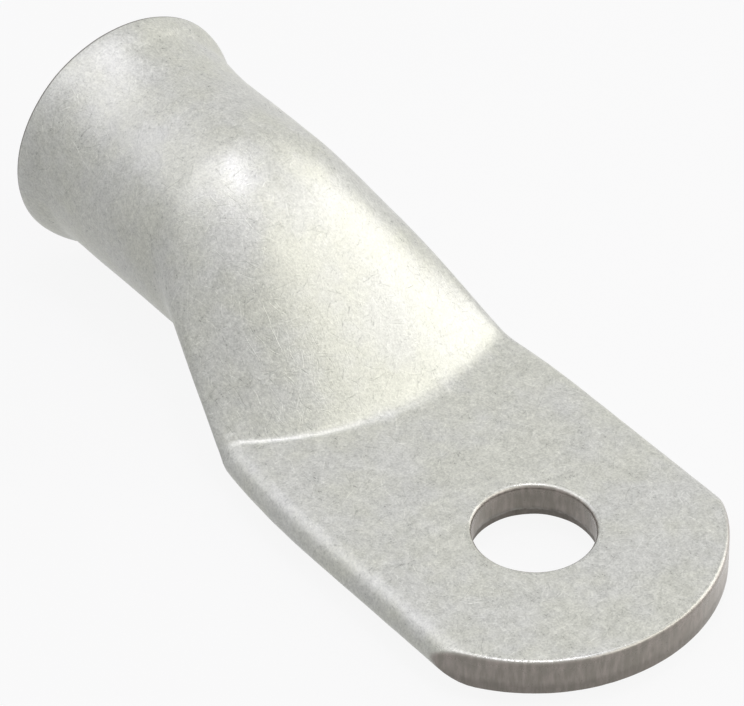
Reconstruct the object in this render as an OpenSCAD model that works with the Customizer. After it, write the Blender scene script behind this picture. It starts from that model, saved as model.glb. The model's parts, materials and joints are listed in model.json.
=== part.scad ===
// Heavy cable lug, pressed from one length of copper tube.
// The tube keeps its round barrel for the cable, is pressed flat into a
// palm for the stud, and its two walls lie on each other in the palm.
// Origin: middle of the stud hole, where the two walls meet.
// +X runs along the barrel to the mouth, +Z is up, off the palm.

/* [Tube] */
// Outside diameter of the tube
tube_d = 20.8; // [14:0.1:26]
// Wall thickness of the tube
wall = 1.76; // [1:0.02:2.6]
// Stud hole centre to the mouth, along the barrel
mouth_x = 59.2; // [56:0.1:80]

/* [Palm] */
// Width of the palm over its folded edges
palm_w = 31; // [24:0.1:38]
// Stud hole centre to the tip of the palm
tip_reach = 16.4; // [12:0.1:24]
// How far the tip's arc stands proud of its two corners
tip_depth = 10.5; // [5:0.1:12]
// Diameter of the stud hole on its straight band
stud_d = 10.5; // [5:0.1:13]

/* [Press] */
// Stud hole centre to the crease, where they are closest
crease_x = 18.9; // [15:0.1:22]
// Radius of the crease, which bows towards the stud hole
crease_r = 27; // [22:0.1:60]
// How far the upper crease sits to one side, as if pressed askew
crease_side = 3; // [0:0.1:4]
// Stud hole centre to where the tube is round again on top
shoulder_x = 40.3; // [33:0.1:45]
// Stud hole centre to where the tube is round again underneath
heel_x = 37.4; // [33:0.1:43]
// Sharpness of the crease, where the top begins to rise
rise_start = 1.25; // [0.6:0.05:1.6]
// Sharpness of the shoulder, where the top stops rising
rise_end = 0.25; // [0:0.05:0.8]
// How soon the sides begin to close in
side_start = 0.85; // [0.2:0.05:1]
// How abruptly the sides meet the round tube
side_end = 1.35; // [0.4:0.05:1.4]
// How far each folded edge is drawn in before the crease
draw_in = 0.65; // [0:0.05:1]
// Length over which the folded edges are drawn in
draw_len = 7.6; // [3:0.1:8]

/* [Bell mouth] */
// How far the mouth flares out all round
bell_flare = 1.45; // [0.5:0.05:3]
// Length of the flare
bell_len = 3.5; // [3:0.1:8]
// Lean of the mouth's cut off square, in degrees
mouth_lean = 2.5; // [0:0.5:4]
// Broken edge of the cut end
lip_edge = 0.25; // [0.1:0.05:0.5]

/* [Punched edges] */
// Roll-over on the edge of the stud hole and the tip
roll = 0.4; // [0.1:0.05:0.6]
// Height of the break-out under the hole's straight band
break_h = 1.15; // [0.5:0.05:1.5]
// How much wider the hole is at the bottom, on the radius
break_out = 0.27; // [0.05:0.01:0.5]

/* [Hidden] */
tin = [0.76, 0.76, 0.74];

tube_r = tube_d / 2;
bore_r = tube_r - wall;
palm_t = 2 * wall;
axis_z = tube_r - wall;            // the barrel lies level with the palm's underside
bell_x = mouth_x - bell_len;
bell_r = tube_r + bell_flare;
bell_in_r = bore_r + bell_flare;
bell_angle = atan(2 * bell_flare / bell_len);
bell_turn = wall * tan(bell_angle / 2); // the flare's inside starts this much later
slope = atan((tube_d - palm_t) / (shoulder_x - crease_x));
wall_lean = wall * tan(slope / 2); // the inside turns this much later than the outside
tip_r = (tip_depth * tip_depth + palm_w * palm_w / 4) / (2 * tip_depth);
tip_centre_x = tip_r - tip_reach;

sunk = 0.02;        // pressed stretch stands this far inside the solids it runs into
lap = 0.3;          // and runs on into them this far
slit = 0.2;         // height of the hollow where it closes at the crease
clear = 1;          // cutters run past a face by this much
barrel_x = max(shoulder_x + wall_lean, heel_x) + sunk;
bore_x = barrel_x + lap / 2;
palm_x = crease_x - draw_len;
past_lip = clear + bell_in_r * tan(mouth_lean);
keep_r = bell_r + past_lip;        // wide enough to hold the whole barrel, leaning

flat_steps = 10;    // points along each half of a flat
fold_steps = 12;    // points round each fold
draw_steps = 4;
press_steps = 18;
hollow_steps = 12;
round_steps = 5;    // points round a rolled edge
bell_steps = 10;
$fn = 96;

// ---- sections across the lug ------------------------------------------

// Shares of the way round a flattened tube of width w and height h, from
// the middle of the underside: close together round the folds, and the
// same number on each flat.
function shares(w, h) =
    let (flat = (w - h) / 2, fold = PI * h / 2, all = 4 * flat + 2 * fold)
    [for (i = [0 : flat_steps - 1]) i * flat / flat_steps / all,
     for (i = [0 : fold_steps - 1]) (flat + i * fold / fold_steps) / all,
     for (i = [0 : 2 * flat_steps - 1]) (flat + fold + i * flat / flat_steps) / all,
     for (i = [0 : fold_steps - 1]) (3 * flat + fold + i * fold / fold_steps) / all,
     for (i = [0 : flat_steps - 1]) (3 * flat + 2 * fold + i * flat / flat_steps) / all];

// Point at share s of the way round a flattened tube: two flats joined by
// two half-round folds. Given as [y, z].
function flat_point(s, w, h) =
    let (flat = (w - h) / 2, fold = PI * h / 2, d = s * (4 * flat + 2 * fold))
    d < flat ? [d, -h / 2] :
    d < flat + fold ? fold_point(flat, h / 2, (d - flat) / fold * 180 - 90) :
    d < 3 * flat + fold ? [2 * flat + fold - d, h / 2] :
    d < 3 * flat + 2 * fold ? fold_point(-flat, h / 2, (d - 3 * flat - fold) / fold * 180 + 90) :
    [d - 4 * flat - 2 * fold, -h / 2];

function fold_point(y, r, a) = [y + r * cos(a), r * sin(a)];

// Point at share s of the way round the round tube.
function round_point(s, r) = [r * sin(360 * s), axis_z - r * cos(360 * s)];

// How high up the round tube share s lies, from 0 underneath to 1 on top.
function height_share(s) = (1 - cos(360 * s)) / 2;

// Smooth step from 0 to 1 with a slope of its own at each end.
function blend(t, start, end) =
    start * (t - 2 * t * t + t * t * t) + t * t * (3 - 2 * t) + end * (t * t * t - t * t);

// Where the crease crosses the width at y: an arc bowed to the stud hole.
// It shifts towards -Y on the way up, from the lower wall at up = 0 to the
// upper wall at up = 1.
function crease_at(y, up) =
    let (off = y + up * crease_side)
    crease_x + crease_r - sqrt(crease_r * crease_r - off * off);

// Where the tube is round again at share s.
function round_at(s) = heel_x + (shoulder_x - heel_x) * height_share(s);

// One ring of the flat palm, part f of the way from palm_x to the crease,
// with its folds drawn in as it goes.
function draw_ring(f) =
    let (w = palm_w - 2 * sunk, h = palm_t - 2 * sunk, drawn = w - 2 * draw_in)
    [for (s = shares(w, h))
        let (far = flat_point(s, w, h), near = flat_point(s, drawn, h))
        [palm_x + f * (crease_at(near[0], near[1] / h + 0.5) - palm_x),
         far[0] + f * f * (near[0] - far[0]),
         far[1] + f * f * (near[1] - far[1])]];

// One ring of the pressed stretch, part t of the way from the crease to
// the round tube. It runs between a flattened tube w wide and h high and a
// round one of radius r, and its upper half is set on by late.
function press_ring(t, w, h, r, late) =
    let (fy = blend(t, side_start, side_end), fz = blend(t, rise_start, rise_end))
    [for (s = shares(w, h))
        let (a = flat_point(s, w, h), b = round_point(s, r),
             from = crease_at(a[0], a[1] / h + 0.5), on = late * height_share(s))
        [from + t * (round_at(s) - from) + on,
         a[0] + fy * (b[0] - a[0]),
         a[1] + fz * (b[1] - a[1])]];

// A ring moved bodily to one x, so that a skin ends in a plane.
function level_ring(ring, x) = [for (p = ring) [x, p[1], p[2]]];

// ---- shapes ---------------------------------------------------------------

// Closed skin over rings of equal count. Each end is closed by strips
// between its lower and upper half, which suits a ring that isn't plane.
module skin(rings) {
    n = len(rings[0]);
    half = n / 2;
    last = (len(rings) - 1) * n;
    sides = [for (k = [0 : len(rings) - 2], i = [0 : n - 1])
        let (a = k * n + i, b = k * n + (i + 1) % n, c = a + n, d = b + n)
        each (i < half ? [[a, c, d], [a, d, b]] : [[a, c, b], [b, c, d]])];
    strips = [for (i = [0 : half / 2 - 1])
        each [[i, i + 1, half - i - 1, half - i],
              [(n - i) % n, half + i, half + i + 1, n - i - 1]]];
    start = [for (q = strips) each triangles(q)];
    end = [for (t = start) [last + t[2], last + t[1], last + t[0]]];
    polyhedron([for (ring = rings) each ring], concat(sides, start, end));
}

// The triangles of a four-cornered face, less one where two corners are one.
function triangles(q) =
    [for (t = [[q[0], q[1], q[2]], [q[0], q[2], q[3]]])
        if (t[0] != t[1] && t[1] != t[2] && t[2] != t[0]) t];

// A shape turned about the barrel's own axis, drawn as [radius, x] points.
module turned(points) {
    translate([0, 0, axis_z]) rotate([0, 90, 0]) rotate_extrude() polygon(points);
}

// A shape turned about the leaning axis of the mouth's cut, drawn as
// [radius, distance past the cut] points.
module turned_at_mouth(points) {
    translate([mouth_x, 0, axis_z]) rotate([0, 90 - mouth_lean, 0])
        rotate_extrude() polygon(points);
}

// The flare's line from radius r at x: a soft start, then level at the lip.
function bell_line(r, x) =
    [for (i = [0 : bell_steps])
        let (u = i / bell_steps) [r + bell_flare * pow(sin(90 * u), 1.5), x + bell_len * u]];

module barrel() {
    intersection() {
        turned(concat([[0, barrel_x], [tube_r, barrel_x]], bell_line(tube_r, bell_x),
            [[bell_r, mouth_x + past_lip], [0, mouth_x + past_lip]]));
        turned_at_mouth([[0, barrel_x - mouth_x - clear], [keep_r, barrel_x - mouth_x - clear],
            [keep_r, bell_r - lip_edge - keep_r], [bell_r - lip_edge, 0], [0, 0]]);
    }
}

// Round bore for the cable, with the flare's inside and the cut's inner edge.
module bore() {
    turned(concat([[0, bore_x], [bore_r, bore_x]], bell_line(bore_r, bell_x + bell_turn),
        [[bell_in_r, mouth_x + past_lip], [0, mouth_x + past_lip]]));
    turned_at_mouth([[0, -bell_in_r - lip_edge], [bell_in_r + lip_edge, 0],
        [bell_in_r + lip_edge, past_lip], [0, past_lip]]);
}

// Pressed stretch between the palm and the round barrel.
module pressed() {
    w = palm_w - 2 * draw_in - 2 * sunk;
    drawn = [for (i = [0 : draw_steps - 1]) draw_ring(i / draw_steps)];
    risen = [for (i = [0 : press_steps])
        press_ring(i / press_steps, w, palm_t - 2 * sunk, tube_r - sunk, 0)];
    skin(concat([level_ring(drawn[0], palm_x - lap)], drawn, risen,
        [level_ring(risen[press_steps], barrel_x + lap)]));
}

// Hollow that the wall leaves inside the pressed stretch.
module hollow() {
    w = palm_w - 2 * draw_in - 2 * wall;
    risen = [for (i = [0 : hollow_steps])
        press_ring(i / hollow_steps, w, slit, bore_r - sunk, wall_lean)];
    skin(concat(risen, [level_ring(risen[hollow_steps], bore_x + lap)]));
}

// Flattened tube, sheared to a round tip whose upper edge is rolled over.
module palm() {
    flat = palm_w - palm_t;
    intersection() {
        translate([-tip_reach - clear, 0, 0]) rotate([90, 0, 90])
            linear_extrude(palm_x + tip_reach + clear) {
                square([flat, palm_t], center = true);
                for (side = [-1, 1]) translate([side * flat / 2, 0]) circle(d = palm_t);
            }
        union() {
            translate([tip_centre_x, 0, 0]) rotate_extrude()
                polygon(concat([[0, -palm_t], [tip_r, -palm_t]],
                    roll_line(tip_r - roll, 0, 90), [[tip_r - roll, palm_t], [0, palm_t]]));
            translate([tip_centre_x, -palm_w, -palm_t])
                cube([palm_x - tip_centre_x + clear, 2 * palm_w, 2 * palm_t]);
        }
    }
}

// Quarter round of the roll-over, ending on the palm's upper face.
function roll_line(r, from, to) =
    [for (i = [0 : round_steps])
        let (a = from + (to - from) * i / round_steps)
        [r + roll * cos(a), wall - roll + roll * sin(a)]];

// Punched hole: rolled over on top, straight, then broken out wider below.
module stud_hole() {
    r = stud_d / 2;
    rotate_extrude() polygon(concat([[0, -palm_t], [r + break_out, -palm_t],
        [r + break_out, -wall], [r, break_h - wall]],
        roll_line(r + roll, 180, 90), [[r + roll, palm_t], [0, palm_t]]));
}

module cable_lug() {
    color(tin) difference() {
        union() {
            palm();
            pressed();
            barrel();
        }
        hollow();
        bore();
        stud_hole();
    }
}

cable_lug();
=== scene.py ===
"""Heavy tinned cable lug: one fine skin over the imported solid, its plated finish, and a plain studio.

The skin is worked out in millimetres in the solid's own frame and turned to metres when its mesh is made.
"""
import json
import math

import bmesh
import bpy
import numpy as np
from mathutils import Matrix, Vector


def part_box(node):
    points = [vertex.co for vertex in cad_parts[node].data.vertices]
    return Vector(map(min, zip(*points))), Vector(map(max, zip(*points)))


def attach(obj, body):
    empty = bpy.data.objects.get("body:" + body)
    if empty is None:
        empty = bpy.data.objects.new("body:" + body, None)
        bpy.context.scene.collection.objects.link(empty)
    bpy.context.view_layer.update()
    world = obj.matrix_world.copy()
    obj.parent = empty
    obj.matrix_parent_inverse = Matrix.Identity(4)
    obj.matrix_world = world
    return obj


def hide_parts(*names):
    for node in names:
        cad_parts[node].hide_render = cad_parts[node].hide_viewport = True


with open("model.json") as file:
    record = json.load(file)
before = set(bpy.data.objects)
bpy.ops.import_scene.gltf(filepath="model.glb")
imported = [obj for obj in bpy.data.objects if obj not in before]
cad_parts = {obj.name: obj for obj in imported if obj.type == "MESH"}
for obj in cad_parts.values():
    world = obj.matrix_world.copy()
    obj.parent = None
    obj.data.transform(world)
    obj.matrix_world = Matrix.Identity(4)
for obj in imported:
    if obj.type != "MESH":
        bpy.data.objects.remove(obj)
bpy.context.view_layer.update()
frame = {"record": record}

MM = 0.001
SKIN = "lug_skin"
FACING = "facing"                  # the skin's attribute that holds which way its surface faces
SEED = 11

# ---- sizes of the lug, in millimetres ---------------------------------------------------------
MOUNTS = {m["name"]: m for m in frame["record"]["mounts"]}
BOX_LOW, BOX_HIGH = (np.array(c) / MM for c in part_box("cable_lug"))

STUD_R = MOUNTS["stud_hole"]["dims"]["r_mm"]
BORE_R = MOUNTS["cable_bore"]["dims"]["r_mm"]
AXIS_Z = MOUNTS["cable_bore"]["pos_m"][2] / MM
WALL = MOUNTS["palm_upper_face"]["pos_m"][2] / MM
TUBE_R = BORE_R + WALL
PALM_W = 31.0
TIP_REACH = 16.4
TIP_DEPTH = 10.5
TIP_R = (TIP_DEPTH**2 + PALM_W**2 / 4) / (2 * TIP_DEPTH)
TIP_X = TIP_R - TIP_REACH          # centre of the tip's arc
CREASE_X, CREASE_R = 18.9, 27.0
CREASE_SIDE = 3.0                  # the upper crease is pressed askew by this much, towards -Y
SHOULDER_X, HEEL_X = 40.3, 37.4
RISE = (1.25, 0.25)                # slopes of the height's blend at the crease and the shoulder
SIDE = (0.85, 1.35)                # and of the width's
DRAW_IN, DRAW_LEN = 0.65, 7.6
DRAW_SIDE = -0.22                  # the folds are drawn in unevenly, which shifts them sideways
MOUTH_X, MOUTH_LEAN = 59.2, math.radians(2.5)
BELL_FLARE, BELL_LEN = 1.45, 3.5
SWELL, SWELL_LEN = 0.30, 9.0       # the barrel swells a little before the flare proper
UNEVEN_SWELL, UNEVEN_LIP = 0.21, 0.29
BELL_TURN = WALL * math.tan(math.atan(2 * BELL_FLARE / BELL_LEN) / 2)
WALL_LEAN = WALL * math.tan(math.atan(2 * AXIS_Z / (SHOULDER_X - CREASE_X)) / 2)
LIP_EDGE = 0.3
ROLL, BURR = 0.45, 0.08            # rolled upper and crisp lower edge of what is sheared
BREAK_H, BREAK_OUT = 1.15, 0.27
SLIT = 0.2

# ---- how finely the skin is divided -----------------------------------------------------------
FLAT_STEPS, FOLD_STEPS = 46, 14
PALM_RINGS, NECK_RINGS, BARREL_RINGS, BELL_RINGS = 112, 74, 30, 34
LIP_RINGS, INNER_BELL_RINGS, BORE_RINGS, HOLLOW_RINGS = 5, 10, 16, 26
ROLL_RINGS, TIP_ROWS = 5, 9
HOLE_ROWS, FACE_ROWS = 7, 8
HOLE_BLOCK = 7.4                   # half side of the patch round the stud hole
SOFTEN, CREASE_SOFTEN = 3, 60      # how often the pressed rings are averaged, and again at the crease
ROUND = 4 * FLAT_STEPS + 2 * FOLD_STEPS
HALF, QUARTER = ROUND // 2, ROUND // 4


# ---- sections across the lug ------------------------------------------------------------------
def shares(w, h):
    """Shares of the way round a flattened tube, from the middle of the underside: even on each flat and
    even round each half-round fold, so that ring after ring has the same count."""
    flat, fold = (w - h) / 2, math.pi * h / 2
    a, b = np.arange(FLAT_STEPS) / FLAT_STEPS * flat, np.arange(FOLD_STEPS) / FOLD_STEPS * fold
    parts = [a, flat + b, flat + fold + a, 2 * flat + fold + a, 3 * flat + fold + b, 3 * flat + 2 * fold + a]
    return np.concatenate(parts) / (4 * flat + 2 * fold)


def flat_section(s, w, h):
    """y and z at share s of the way round a flattened tube: two flats joined by two half-round folds."""
    flat, fold = (w - h) / 2, math.pi * h / 2
    d = s * (4 * flat + 2 * fold)
    right, left = (d - flat) / (h / 2) - math.pi / 2, (d - 3 * flat - fold) / (h / 2) + math.pi / 2
    where = [d < flat, d < flat + fold, d < 3 * flat + fold, d < 3 * flat + 2 * fold]
    y = [d, flat + h / 2 * np.cos(right), 2 * flat + fold - d, -flat + h / 2 * np.cos(left)]
    z = [-h / 2 + 0 * d, h / 2 * np.sin(right), h / 2 + 0 * d, h / 2 * np.sin(left)]
    return np.select(where, y, d - 4 * flat - 2 * fold), np.select(where, z, -h / 2)


def round_section(s, r):
    """y and z at share s of the way round the round tube."""
    return r * np.sin(2 * np.pi * s), AXIS_Z - r * np.cos(2 * np.pi * s)


def height_share(s):
    """0 underneath the round tube and 1 on top of it."""
    return (1 - np.cos(2 * np.pi * s)) / 2


def blend(t, start, end):
    """A cubic from 0 to 1 with the given slope at each end."""
    return start * (t - 2 * t**2 + t**3) + t * t * (3 - 2 * t) + end * (t**3 - t * t)


def crease_at(y, up):
    """The crease: an arc of radius CREASE_R bowed to the stud hole. It shifts sideways on the way up, from
    the lower wall at up = 0 to the upper one at up = 1."""
    return CREASE_X + CREASE_R - np.sqrt(CREASE_R**2 - (y + up * CREASE_SIDE) ** 2)


def tip_at(y, inset=0.0):
    """The sheared tip: an arc about TIP_X, drawn in by inset."""
    return TIP_X - np.sqrt((TIP_R - inset) ** 2 - y * y)


def smooth(t):
    """A soft step from 0 to 1."""
    t = np.clip(t, 0, 1)
    return t * t * (3 - 2 * t)


def crowded(count):
    """Steps from 0 to 1 in a column, which lie closer together near 0."""
    t = np.linspace(0, 1, count + 1)[:, None]
    return 0.4 * t + 0.6 * t * t


def points(x, y, z):
    """x, y and z spread over one grid of points."""
    return np.stack(np.broadcast_arrays(x, y, z), -1)


# ---- the stretches of the skin, as grids of rings ---------------------------------------------
OUTER = shares(PALM_W, 2 * WALL)[None, :]


def tip_rings():
    """Rings over the rolled edge of the tip. Ring by ring an angle goes from 0 to 90 degrees: the arc is
    drawn in by roll times 1 - cos, and the height falls short of the palm's by roll times 1 - sin."""
    y, z = flat_section(OUTER, PALM_W, 2 * WALL)
    roll = BURR + (ROLL - BURR) * smooth(z / WALL)
    a = np.linspace(0, np.pi / 2, ROLL_RINGS + 1)[:, None]
    return points(tip_at(y, roll * (1 - np.cos(a))), y, z * (1 - roll / WALL * (1 - np.sin(a))))


def palm_rings():
    """Straight lines from the tip's arc to the crease's arc. Past DRAW_LEN before the crease the folds are
    drawn in with the square of the way there."""
    y, z = flat_section(OUTER, PALM_W, 2 * WALL)
    near, _ = flat_section(shares(PALM_W - 2 * DRAW_IN, 2 * WALL)[None, :], PALM_W - 2 * DRAW_IN, 2 * WALL)
    roll = BURR + (ROLL - BURR) * smooth(z / WALL)
    crease = crease_at(near, (z / WALL + 1) / 2)
    t = crowded(PALM_RINGS)[::-1][:-1]
    x = tip_at(y, roll) * t + crease * (1 - t)
    start = CREASE_X - DRAW_LEN
    f = np.clip((x - start) / (crease - start), 0, 1)
    return points(x, y + f * f * (near + DRAW_SIDE - y), z)


def neck_rings(w, h, r, count, late=0.0):
    """Rings from a flattened tube to a round one of radius r. Each point keeps its share of the girth and
    goes straight from the crease to the slanted line where the tube is round again, while its width and
    its height each follow a blend. The upper half is set on by late, which keeps an inner skin one wall
    inside."""
    s = shares(w, h)[None, :]
    flat_y, flat_z = flat_section(s, w, h)
    round_y, round_z = round_section(s, r)
    t = crowded(count)
    start, up = crease_at(flat_y, flat_z / h + 0.5), height_share(s)
    x = start + t * (HEEL_X + (SHOULDER_X - HEEL_X) * up - start) + late * up
    side, rise = blend(t, *SIDE), blend(t, *RISE)
    flat_y = flat_y + DRAW_SIDE
    return points(x, flat_y + side * (round_y - flat_y), flat_z + rise * (round_z - flat_z))


def lean(z):
    """How far the leaning cut stands back from square at height z."""
    return (z - AXIS_Z) * math.tan(MOUTH_LEAN)


def bell(u):
    """The flare's line from 0 to 1: a soft start, a slope, and level again at the lip."""
    return np.sin(np.pi / 2 * np.clip(u, 0, 1)) ** 1.5


def straight_rings(first, last, count):
    """Straight lines from ring first to ring last, without first itself."""
    t = np.linspace(0, 1, count + 1)[1:, None, None]
    return first + t * (last - first)


def uneven(s, x):
    """How far the hand-pressed flare is out of round at share s and place x. Seen along the barrel, side
    points between +Y and down and over between +Y and up. The barrel swells away from side, the lip
    falls short towards and away from it, and over the top the flare is longer and softer."""
    y, z = round_section(s, 1.0)
    side, over = 0.81 * y - 0.58 * (z - AXIS_Z), 0.58 * y + 0.81 * (z - AXIS_Z)
    swell = smooth((x - MOUTH_X + SWELL_LEN) / (SWELL_LEN - BELL_LEN))[:, None]
    lip = smooth((x - MOUTH_X) / BELL_LEN + 1)[:, None]
    longer = smooth((x - MOUTH_X) / SWELL_LEN + 1) ** 1.6 - bell((x - MOUTH_X) / BELL_LEN + 1)
    soft = (longer * (x < MOUTH_X - LIP_EDGE))[:, None] * (BELL_FLARE - SWELL) * np.clip(over, 0, 1) ** 2
    return -UNEVEN_SWELL * side * swell - UNEVEN_LIP * abs(side) * lip + soft


def turned_rings(s, x, radius, out_of_round):
    """Rings about the barrel's axis: x along it, radius from it, in step. A ring leans with the mouth's cut,
    by as much as it lies on past the straight barrel."""
    share = np.clip((x - (MOUTH_X - BELL_LEN)) / BELL_LEN, 0, 1)[:, None]
    y, z = round_section(s, radius[:, None] + out_of_round)
    return points(x[:, None] - share * lean(z), y, z)


def mouth_rings(s):
    """The flare outside, the lip with its broken edges, and the flare inside."""
    start = MOUTH_X - BELL_LEN
    rim, inner = TUBE_R + BELL_FLARE, BORE_R + BELL_FLARE
    x = np.linspace(MOUTH_X - SWELL_LEN, MOUTH_X - LIP_EDGE, BELL_RINGS)
    swell = SWELL * smooth((x - MOUTH_X + SWELL_LEN) / SWELL_LEN)
    outside = x, TUBE_R + swell + (BELL_FLARE - SWELL) * bell((x - start) / BELL_LEN)
    a = np.linspace(0, np.pi / 2, LIP_RINGS + 1)[1:]
    outer_edge = MOUTH_X - LIP_EDGE * (1 - np.sin(a)), rim - LIP_EDGE * (1 - np.cos(a))
    inner_edge = MOUTH_X - LIP_EDGE * (1 - np.cos(a)), inner + LIP_EDGE * (1 - np.sin(a))
    lip = np.full(2, MOUTH_X), np.linspace(rim - LIP_EDGE, inner + LIP_EDGE, 4)[1:3]
    begin = lip[0][:1], np.array([inner + LIP_EDGE])
    x = np.linspace(MOUTH_X - LIP_EDGE, start + BELL_TURN, INNER_BELL_RINGS + 1)[1:]
    inside = x, BORE_R + BELL_FLARE * bell((x - start - BELL_TURN) / BELL_LEN)
    x, radius = (np.concatenate(p) for p in zip(outside, outer_edge, lip, begin, inner_edge, inside))
    lip_only = np.minimum(uneven(s, x), 0) * smooth((x - start - BELL_TURN) / 2)[:, None]
    outer = (np.arange(len(x)) < BELL_RINGS)[:, None]
    return turned_rings(s, x, radius, np.where(outer, uneven(s, x), lip_only))


def bore_rings(first, last, first_s, last_s):
    """Rings along the straight bore. From first to last the shares of the girth change little by little,
    since the hollow's ring is spaced differently from the mouth's."""
    t = np.linspace(0, 1, BORE_RINGS + 1)[1:, None]
    y, z = round_section(first_s + t * (last_s - first_s), BORE_R)
    return points(first[:, 0] + t * (last[:, 0] - first[:, 0]), y, z)


def softened(rings, times, give=1.0):
    """Rings drawn towards the mean of their two neighbours, times over, as far as give lets each point."""
    for _ in range(times):
        pull = (rings[:-2] - 2 * rings[1:-1] + rings[2:]) / 4
        rings = np.concatenate([rings[:1], rings[1:-1] + give * pull, rings[-1:]])
    return rings


def crease_give(rings):
    """How freely a point near the upper crease is softened: not at all at the +Y end, where the die bit
    hardest, and fully towards the other."""
    x, y, z = np.moveaxis(rings[1:-1], -1, 0)
    near = 1 - smooth((np.abs(x - crease_at(np.clip(y, -15, 15), 1)) - 1) / 2)
    return (near * smooth(0.45 - y / 20) * (z > 0))[..., None]


def lug_rings():
    """Every ring of the skin in one pile: over the tip, along the palm, the neck and the barrel, round the
    lip and back inside to the slit where the hollow closes."""
    w, h = PALM_W - 2 * DRAW_IN, 2 * WALL
    outer_s, inner_s = shares(w, h)[None, :], shares(w - h, SLIT)[None, :]
    tip, neck = tip_rings(), neck_rings(w, h, TUBE_R, NECK_RINGS)
    hollow = neck_rings(w - h, SLIT, BORE_R, HOLLOW_RINGS, late=WALL_LEAN)[::-1]
    mouth = mouth_rings(outer_s)
    barrel = straight_rings(neck[-1], mouth[0], BARREL_RINGS)
    pressed = softened(np.concatenate([palm_rings(), neck[1:], barrel]), SOFTEN)
    pressed = softened(pressed, CREASE_SOFTEN, crease_give(pressed))
    bore = bore_rings(mouth[-1], hollow[0], outer_s, inner_s)
    return np.concatenate([tip, pressed, mouth[1:], bore, hollow[1:]])


def between(rings, ring, steps):
    """A grid that closes one end: steps from the lower half of a ring to the upper half, where a point's
    partner stands straight over it."""
    place = np.arange(-QUARTER, QUARTER + 1)
    low, high = rings[ring, place], rings[ring, HALF - place]
    return low + np.linspace(0, 1, steps + 1)[:, None, None] * (high - low)


# ---- the stud hole ----------------------------------------------------------------------------
def hole_block(rings):
    """First and last ring, and first and last place, of the block cut from the upper flat."""
    middle = rings[: ROLL_RINGS + PALM_RINGS, HALF, 0]
    k = np.searchsorted(middle, [-HOLE_BLOCK, HOLE_BLOCK])
    reach = round(HOLE_BLOCK / (PALM_W - 2 * WALL) * 2 * FLAT_STEPS)
    return k[0], k[1], HALF - reach, HALF + reach


def block_border(k0, k1, i0, i1):
    """Ring and place of each point round a block of the grid, one side after another."""
    along, across = np.arange(k0, k1), np.arange(i0, i1)
    ring = np.concatenate([along, np.full(i1 - i0, k1), along[::-1] + 1, np.full(i1 - i0, k0)])
    place = np.concatenate([np.full(k1 - k0, i0), across, np.full(k1 - k0, i1), across[::-1] + 1])
    return ring, place


def hole_grid(rings, block):
    """Upper face, wall and lower face round the stud hole in one grid. A column starts on the upper block's
    border, runs straight to the rolled edge, down the wall, over the torn lower edge and straight out to
    the lower block's border. The band where the punch tore through starts at a wandering height."""
    ring, place = block_border(*block)
    top, low = rings[ring, place], rings[ring, (HALF - place) % ROUND]
    a = np.arctan2(top[:, 1], top[:, 0])
    torn = BREAK_H - WALL + 0.16 * np.sin(3 * a + 1) * np.sin(5 * a) + 0.05 * np.sin(17 * a + 2)
    b = np.linspace(0, np.pi / 2, ROLL_RINGS + 1)[:, None]
    u = np.linspace(0, 1, HOLE_ROWS + 1)[1:, None]
    edge = np.linspace(0, np.pi / 2, 4)[1:, None]
    rolled = STUD_R + ROLL * (1 - np.sin(b)) + 0 * a, WALL - ROLL * (1 - np.cos(b)) + 0 * a
    straight = STUD_R + 0 * u + 0 * a, WALL - ROLL + u * (torn - WALL + ROLL)
    low_z = BURR - WALL
    broken = STUD_R + BREAK_OUT * u**0.7 + 0 * a, torn + u * (low_z - torn)
    burred = STUD_R + BREAK_OUT + BURR * (1 - np.cos(edge)) + 0 * a, low_z - BURR * np.sin(edge) + 0 * a
    r, z = (np.concatenate(p) for p in zip(rolled, straight, broken, burred))
    wall = np.stack([r * np.cos(a), r * np.sin(a), z], -1)
    v = np.linspace(0, 1, FACE_ROWS + 1)[:, None, None]
    return np.concatenate([top + v[:-1] * (wall[0] - top), wall, wall[-1] + v[1:] * (low - wall[-1])])


# ---- one closed mesh --------------------------------------------------------------------------
def quads(rows, cols, wrap=False):
    """Corner numbers of the quads between neighbouring rows and columns of a grid."""
    k, i = np.meshgrid(np.arange(rows - 1), np.arange(cols if wrap else cols - 1), indexing="ij")
    j = (i + 1) % cols
    return np.stack([k * cols + i, k * cols + j, (k + 1) * cols + j, (k + 1) * cols + i], -1)


def lug_mesh():
    """The skin as one closed mesh, in millimetres: the pile of rings less two blocks, the grid that joins
    those through the stud hole, the sheared face of the tip and the strip that closes the slit."""
    rings = lug_rings()
    k0, k1, i0, i1 = block = hole_block(rings)
    hole = hole_grid(rings, block)
    ends = [between(rings, 0, TIP_ROWS), between(rings, -1, 1)]
    side = quads(*rings.shape[:2], wrap=True)
    keep = np.ones(side.shape[:2], bool)
    keep[k0:k1, i0:i1] = False
    keep[k0:k1, (HALF - 1 - np.arange(i0, i1)) % ROUND] = False
    grids = [(rings, side[keep]), (hole, quads(*hole.shape[:2], wrap=True))]
    grids += [(end, quads(*end.shape[:2])) for end in ends]
    starts = np.cumsum([0] + [grid.shape[0] * grid.shape[1] for grid, _ in grids])
    corners = np.concatenate([grid.reshape(-1, 3) for grid, _ in grids])
    faces = np.concatenate([q.reshape(-1, 4) + start for (_, q), start in zip(grids, starts)])
    mesh = bpy.data.meshes.new(SKIN)
    mesh.from_pydata(corners, [], faces)
    work = bmesh.new()
    work.from_mesh(mesh)
    bmesh.ops.remove_doubles(work, verts=work.verts, dist=0.001)
    bmesh.ops.recalc_face_normals(work, faces=work.faces)
    work.to_mesh(mesh)
    work.free()
    return mesh


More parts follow.
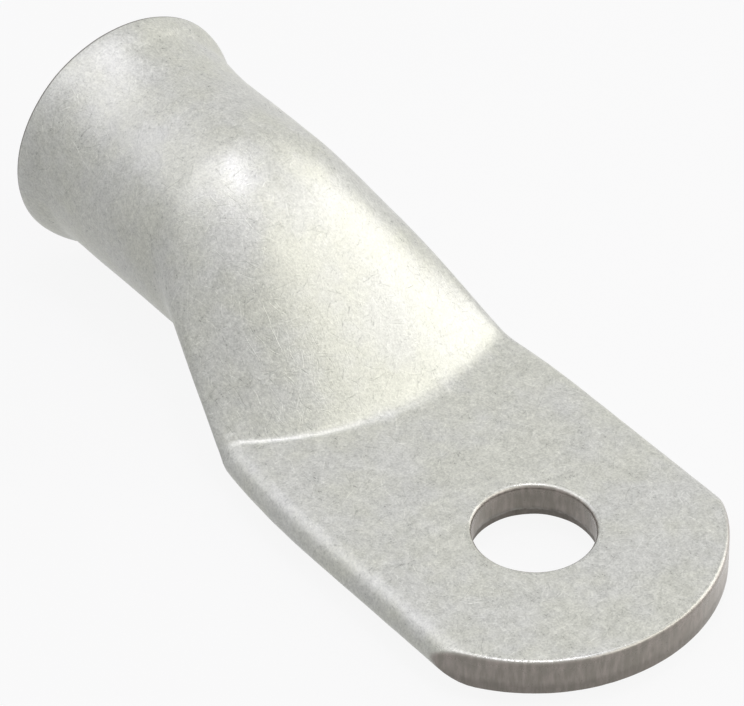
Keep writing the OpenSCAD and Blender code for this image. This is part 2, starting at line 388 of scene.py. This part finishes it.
# ---- small marks of pressing and handling, cut into the mesh ----------------------------------
def waves(place, length, count, seed):
    """Smooth noise of mean 0 and spread 1, about one bump to each length: a sum of plane waves whose
    directions and phases are drawn from the seed."""
    draw = np.random.default_rng(seed)
    way = draw.normal(size=(3, count))
    way *= 2 * np.pi / length / np.linalg.norm(way, axis=0)
    return np.cos(place @ way + draw.uniform(0, 2 * np.pi, count)).sum(1) * math.sqrt(2 / count)


def bump_at(place, centre, size):
    """A round bump that is 1 at the centre and fades out over size."""
    return np.exp(-(((place - centre) / size) ** 2).sum(1))


NICK_DEPTH = 0.16
# Where each nick is and how far it reaches along x, y and z, in mm.
NICKS = [
    ((24.6, 14.5, 1.5), (0.8, 0.4, 0.9)),
    ((25.3, 13.4, 2.6), (0.3, 0.5, 0.5)),
    ((26.2, 13.6, 3.1), (0.5, 0.3, 0.4)),
]


def sink(place):
    """How deep each point is sunk under the true surface. Broad slow hollows from the press and small dents
    lie all over, ribs run down the sheared faces, and a few nicks sit at the crease's corner. The broad
    ones fade out on the palm, which the die has left flat, and none raises a point."""
    x, y, z = place.T
    pressed = smooth((x - CREASE_X + 3) / 6) * (1 - smooth((x - MOUTH_X + 6) / 5))
    broad = 0.05 * (1 + waves(place, 11, 24, SEED) / 3) * (0.12 + 0.88 * pressed)
    dents = 0.010 * (1 + waves(place, 2.6, 60, SEED + 1) / 3)
    from_tip, from_hole = np.hypot(x - TIP_X, y), np.hypot(x, y)
    at_tip = smooth((from_tip - TIP_R + 0.25) / 0.2) * (x < TIP_X)
    sheared = at_tip + smooth((STUD_R + 0.2 - from_hole) / 0.2)
    ribs = 0.008 * (1 + waves(place * [1, 1, 0.2], 0.9, 40, SEED + 2) / 3)
    nicks = NICK_DEPTH * sum(bump_at(place, centre, size) for centre, size in NICKS)
    return np.clip(broad + dents + sheared * ribs + nicks, 0, None)


def lug_skin():
    """The lug's skin, marked and brought to metres, with soft shading."""
    mesh = lug_mesh()
    corners, normals = np.empty(len(mesh.vertices) * 3), np.empty(len(mesh.vertices) * 3, np.float32)
    mesh.vertices.foreach_get("co", corners)
    mesh.vertex_normals.foreach_get("vector", normals)
    place, out = corners.reshape(-1, 3), normals.reshape(-1, 3)
    mesh.attributes.new(FACING, "FLOAT_VECTOR", "POINT").data.foreach_set("vector", normals)
    place = (place - out * sink(place)[:, None]) * MM
    mesh.vertices.foreach_set("co", place.ravel())
    mesh.shade_smooth()
    mesh.update()
    skin = bpy.data.objects.new(SKIN, mesh)
    bpy.context.scene.collection.objects.link(skin)
    return skin


# ---- shader maths -----------------------------------------------------------------------------
class Value:
    """A shader socket in a Python expression: each operator adds its Math node."""

    def __init__(self, shader, socket):
        self.shader, self.socket = shader, socket

    def maths(self, operation, *values):
        """A Math node on values."""
        return self.shader.add("ShaderNodeMath", {"operation": operation}, dict(enumerate(values))).out(0)

    def __add__(self, other):
        return self.maths("ADD", self, other)

    def __sub__(self, other):
        return self.maths("SUBTRACT", self, other)

    def __rsub__(self, other):
        return self.maths("SUBTRACT", other, self)

    def __mul__(self, other):
        return self.maths("MULTIPLY", self, other)

    def __pow__(self, other):
        return self.maths("POWER", self, other)

    def most(self, other):
        """The larger of two values."""
        return self.maths("MAXIMUM", self, other)

    def step(self, low, high):
        """0 at low and 1 at high, soft between them; low may be the larger."""
        made = self.shader.add("ShaderNodeMapRange", {"interpolation_type": "SMOOTHSTEP"},
                               {"Value": self, "From Min": low, "From Max": high})
        return made.out("Result")

    __radd__, __rmul__ = __add__, __mul__


class Added:
    """A node that has been put in a tree."""

    def __init__(self, shader, node):
        self.shader, self.node = shader, node

    def out(self, name):
        return Value(self.shader, self.node.outputs[name])


class Shader:
    """A node tree, with one way to put a node in it."""

    def __init__(self, tree):
        self.tree = tree
        tree.nodes.clear()

    def add(self, kind, settings=None, sockets=None):
        """A node of one kind: its settings are set first, then its sockets' values and links."""
        node = self.tree.nodes.new(kind)
        for name, value in (settings or {}).items():
            setattr(node, name, value)
        for name, value in (sockets or {}).items():
            socket = node.inputs[name]
            if isinstance(value, Value):
                self.tree.links.new(value.socket, socket)
            else:
                socket.default_value = value
        return Added(self, node)

    def mixed(self, share, first, second, blend_type="MIX"):
        """Two colours mixed by share."""
        factor, a, b = 0, 6, 7     # the colour sockets of a Mix node
        made = self.add("ShaderNodeMix", {"data_type": "RGBA", "blend_type": blend_type},
                        {factor: share, a: first, b: second})
        return made.out(2)

    def vector(self, operation, *values, out=0):
        """A Vector Math node on values; out is 0 for its vector and "Value" for its number."""
        return self.add("ShaderNodeVectorMath", {"operation": operation}, dict(enumerate(values))).out(out)

    def scaled(self, vector, by):
        """A vector times a number."""
        return self.add("ShaderNodeVectorMath", {"operation": "SCALE"}, {0: vector, "Scale": by}).out(0)

    def noise(self, place, scale, detail, rough):
        """Noise over a place."""
        sockets = {"Vector": place, "Scale": scale, "Detail": detail, "Roughness": rough}
        return self.add("ShaderNodeTexNoise", {}, sockets).out(0)


def new_shader(name):
    """A material and the shader of its node tree."""
    material = bpy.data.materials.new(name)
    material.use_nodes = True
    return material, Shader(material.node_tree)


# ---- the tin ----------------------------------------------------------------------------------
LIGHT_TIN = (0.81, 0.82, 0.765, 1)
DARK_TIN = (0.37, 0.38, 0.35, 1)
WARM = (1.0, 1.0, 0.95, 1)
SHEARED = (0.28, 0.258, 0.222, 1)
SHEARED_PINK = (0.40, 0.355, 0.32, 1)
# a lighter cut colour that paints the side light falling on the tip's -Y end
SHEARED_PAINTED_LIT = (0.62, 0.585, 0.54, 1)
# the dark of the torn band, also used for the painted shade along the mouth's rim
TORN_AND_RIM_SHADE = (0.08, 0.07, 0.055, 1)
METALLIC, ROUGH = 0.4, 0.36
SCRATCH_SWAY = 0.9                 # how far the scratches bend out of line, in mm
# Cells' spacing, a scratch's reach from its middle and its half width in mm, and a shift of the pattern.
SCRATCHES = [(2.4, 1.4, 0.055, 3), (1.5, 0.9, 0.055, 11), (0.9, 0.6, 0.05, 23)]


def tin_material():
    """Matt hot-dipped tin over copper: mottled light grey with a fine crystal grain and crowds of short fine
    scratches. The sheared faces are brownish and dark where the punch tore through, with painted light that
    lightens the tip's face towards -Y; the rolled edges beside them are rubbed smooth, and a dark line of
    painted shade runs round the mouth's rim."""
    material, shader = new_shader("tin")
    metres = shader.add("ShaderNodeTexCoord").out("Object")
    place = shader.scaled(metres, 1 / MM)
    facing = shader.add("ShaderNodeAttribute", {"attribute_name": FACING}).out("Vector")
    parted = shader.add("ShaderNodeSeparateXYZ", {}, {0: place})
    x, y, z = (parted.out(i) for i in range(3))

    mottle = shader.noise(place, 0.16, 3, 0.6)
    clouds = shader.noise(place, 0.5, 4, 0.65)
    grain = shader.noise(place, 2.0, 4, 0.8)
    fine = shader.noise(place, 5.0, 2, 0.6)
    sway = shader.add("ShaderNodeTexNoise", {}, {"Vector": place, "Scale": 0.4, "Detail": 1.0}).out("Color")
    bent = shader.vector("ADD", place, shader.scaled(sway, SCRATCH_SWAY))
    marks = sum(scratches(shader, bent, facing, *size) for size in SCRATCHES)

    from_hole = (x * x + y * y) ** 0.5
    from_tip = ((x - TIP_X) * (x - TIP_X) + y * y) ** 0.5
    wander = (clouds - 0.5) * 0.9 + (grain - 0.5) * 0.4
    torn = z.step(BREAK_H - WALL + 0.3, BREAK_H - WALL - 0.5 + wander)
    at_hole = from_hole.step(STUD_R + 0.30, STUD_R + 0.05).most(
        from_hole.step(STUD_R + BREAK_OUT + 0.12, STUD_R + BREAK_OUT + 0.02) * torn)
    at_tip = from_tip.step(TIP_R - 0.35, TIP_R - 0.05) * (TIP_X - x).step(0, 0.5)
    sheared = at_hole.most(at_tip)
    beside_tip = from_tip.step(TIP_R - 0.7, TIP_R - 0.3) * (TIP_X - x).step(0, 0.5)
    rubbed = beside_tip.most(from_hole.step(STUD_R + 0.7, STUD_R + 0.3)) * z.step(0.6, WALL - 0.3)
    streaks = shader.noise(shader.vector("MULTIPLY", place, (2.2, 2.2, 0.5)), 1.0, 3, 0.6)

    tone = 0.5 + (grain - 0.5) * 0.85 + (fine - 0.5) * 0.9 + (clouds - 0.5) * 0.4 + marks * 0.22
    tin = shader.mixed(tone, DARK_TIN, LIGHT_TIN)
    tin = shader.mixed(mottle.step(0.35, 0.65), tin, WARM, "MULTIPLY")
    cut = shader.mixed(streaks.step(0.35, 0.75), SHEARED, SHEARED_PINK)
    # painted light: the tip's sheared face is lightened towards its -Y side, where the side softbox lights
    # it
    cut = shader.mixed(y.step(-3, -13) * at_tip * 0.8, cut, SHEARED_PAINTED_LIT)
    cut = shader.mixed(torn * (0.3 + at_hole * 0.3), cut, TORN_AND_RIM_SHADE)
    colour = shader.mixed(sheared, tin, cut)

    # painted shade: a dark line round the mouth on the lip's rounded outer edge; on the lip's cut face it is
    # the cut's own darker colour
    past_rim = x + (z - AXIS_Z) * math.tan(MOUTH_LEAN)
    rim = past_rim.step(MOUTH_X - 0.34, MOUTH_X - 0.22)
    colour = shader.mixed(rim * (0.6 + clouds * 0.4), colour, TORN_AND_RIM_SHADE)

    height = grain * 0.026 + fine * 0.014 + marks * 0.008 + streaks * sheared * 0.01
    relief = shader.add("ShaderNodeBump", {}, {"Height": height, "Distance": MM, "Strength": 1.0}).out(0)
    rough = ROUGH + (grain - 0.5) * 0.4 + (clouds - 0.5) * 0.2 + torn * at_hole * 0.2 - rubbed * 0.17
    skin = shader.add("ShaderNodeBsdfPrincipled", {}, {
        "Base Color": colour, "Roughness": rough, "Metallic": METALLIC, "Normal": relief}).out(0)
    shader.add("ShaderNodeOutputMaterial", {}, {"Surface": skin})
    return material


def scratches(shader, place, facing, spacing, reach, width, shift):
    """Short scratches that lie in the surface, in random directions and from -1, dark, to 1, light. Each
    cell of a Voronoi pattern has one: a line through the cell's centre along the cell's random direction,
    both brought into the surface by taking away their part along facing. It is width across each way,
    and fades out at reach from its middle."""
    moved = shader.vector("ADD", place, (shift, -shift, 2 * shift))
    cell = shader.add("ShaderNodeTexVoronoi", {"feature": "F1"}, {"Vector": moved, "Scale": 1 / spacing})
    away = shader.vector("SUBTRACT", moved, cell.out("Position"))
    chance = shader.vector("SUBTRACT", cell.out("Color"), (0.5, 0.5, 0.5))
    lift = shader.vector("DOT_PRODUCT", chance, facing, out="Value")
    way = shader.vector("NORMALIZE", shader.vector("SUBTRACT", chance, shader.scaled(facing, lift)))
    along = shader.vector("DOT_PRODUCT", away, way, out="Value")
    height = shader.vector("DOT_PRODUCT", away, facing, out="Value")
    square = shader.vector("DOT_PRODUCT", away, away, out="Value")
    off = (square - height * height - along * along).most(0) ** 0.5
    tone = shader.add("ShaderNodeSeparateXYZ", {}, {0: chance}).out(2) * 2
    return off.step(width, width * 0.3) * (along * along).step(reach * reach, reach * reach * 0.2) * tone


# ---- the studio -------------------------------------------------------------------------------
FLOOR_HALF = 4.0
FLOOR_GREY = 0.66
FLOOR_WHITE = 0.90                 # share of plain white that the camera sees in the floor
AMBIENT = (0.02, 0.02, 0.014)       # what the room gives a matt surface


def seen(shader):
    """1 for a ray that comes from the camera, a reflection or a transmission."""
    path = shader.add("ShaderNodeLightPath")
    return path.out("Is Camera Ray").most(path.out("Is Glossy Ray")).most(path.out("Is Transmission Ray"))


def floor():
    """A wide pale floor under the lug's lowest point, which keeps the lug's shadow but is close to white."""
    level = BOX_LOW[2] * MM
    corners = [(i * FLOOR_HALF, j * FLOOR_HALF, level) for i, j in ((-1, -1), (1, -1), (1, 1), (-1, 1))]
    mesh = bpy.data.meshes.new("floor")
    mesh.from_pydata(corners, [], [(0, 1, 2, 3)])
    plane = bpy.data.objects.new("floor", mesh)
    bpy.context.scene.collection.objects.link(plane)
    material, shader = new_shader("floor")
    matt = shader.add("ShaderNodeBsdfDiffuse", {}, {"Color": (FLOOR_GREY, FLOOR_GREY, FLOOR_GREY, 1)}).out(0)
    white = shader.add("ShaderNodeEmission", {}, {"Color": (1, 1, 1, 1), "Strength": 1.0}).out(0)
    both = shader.add("ShaderNodeMixShader", {}, {0: seen(shader) * FLOOR_WHITE, 1: matt, 2: white}).out(0)
    shader.add("ShaderNodeOutputMaterial", {}, {"Surface": both})
    mesh.materials.append(material)


def room():
    """White where it is seen, and a soft grey as light."""
    world = bpy.data.worlds.new("room")
    bpy.context.scene.world = world
    world.use_nodes = True
    shader = Shader(world.node_tree)
    colour = shader.mixed(seen(shader), (*AMBIENT, 1), (1, 1, 1, 1))
    glow = shader.add("ShaderNodeBackground", {}, {"Color": colour, "Strength": 1.0}).out(0)
    shader.add("ShaderNodeOutputWorld", {}, {"Surface": glow})


def lamp(name, toward, away, size, power, tint=(1, 1, 1)):
    """A square softbox: away metres from the lug's middle in the given direction, facing it."""
    light = bpy.data.lights.new(name, "AREA")
    light.size, light.energy, light.color = size, power, tint
    middle = Vector((BOX_LOW + BOX_HIGH) / 2 * MM)
    aim = Vector(toward).normalized()
    holder = bpy.data.objects.new(name, light)
    turned = aim.to_track_quat("Z", "Y").to_matrix().to_4x4()
    holder.matrix_world = Matrix.Translation(middle + aim * away) @ turned
    bpy.context.scene.collection.objects.link(holder)


LENS_WIDTHS = 4802 / 744           # the lens, in widths of the picture


def camera():
    """A long lens over the tip's left side, looking down the lug. The view is set by the way back to the
    camera, the roll about it, the point of the palm's underside plane it looks at and the distance."""
    azimuth, height, roll, away = 2.4879, 0.7029, -0.0151, 427.5
    target = Vector((29.756, -5.879, -WALL))
    flat = math.cos(height)
    back = Vector((flat * math.cos(azimuth), flat * math.sin(azimuth), math.sin(height)))
    right = (-back).cross(Vector((0, 0, 1))).normalized()
    up = right.cross(-back)
    across = right * math.cos(roll) + up * math.sin(roll)
    upward = up * math.cos(roll) - right * math.sin(roll)
    turned = Matrix((across, upward, back))
    lens = bpy.data.cameras.new("camera")
    lens.sensor_width, lens.lens = 36.0, 36.0 * LENS_WIDTHS
    lens.clip_start = 0.01
    holder = bpy.data.objects.new("camera", lens)
    holder.matrix_world = Matrix.Translation((target + back * away) * MM) @ turned.transposed().to_4x4()
    bpy.context.scene.collection.objects.link(holder)
    bpy.context.scene.camera = holder


camera()
room()
floor()
lamp("overhead", (0.15, 0.10, 1.0), 0.80, 0.90, 2.6, (0.90, 0.875, 1.0))
lamp("top_spot", (-0.03, -0.03, 1.0), 0.55, 0.10, 0.38, (0.92, 0.89, 1.0))
lamp("back_softbox", (0.48, 0.48, 0.68), 0.70, 0.50, 0.70, (0.92, 0.90, 1.0))
lamp("side_softbox", (-0.27, -0.87, 0.43), 0.50, 0.36, 1.05, (1.0, 0.97, 0.95))
lamp("front_softbox", (-0.65, -0.30, 0.70), 0.60, 0.40, 0.95, (1.0, 0.97, 0.93))
bpy.context.scene.view_settings.view_transform = "Standard"

lug = lug_skin()
lug.data.materials.append(tin_material())
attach(lug, "root")
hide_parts("cable_lug")
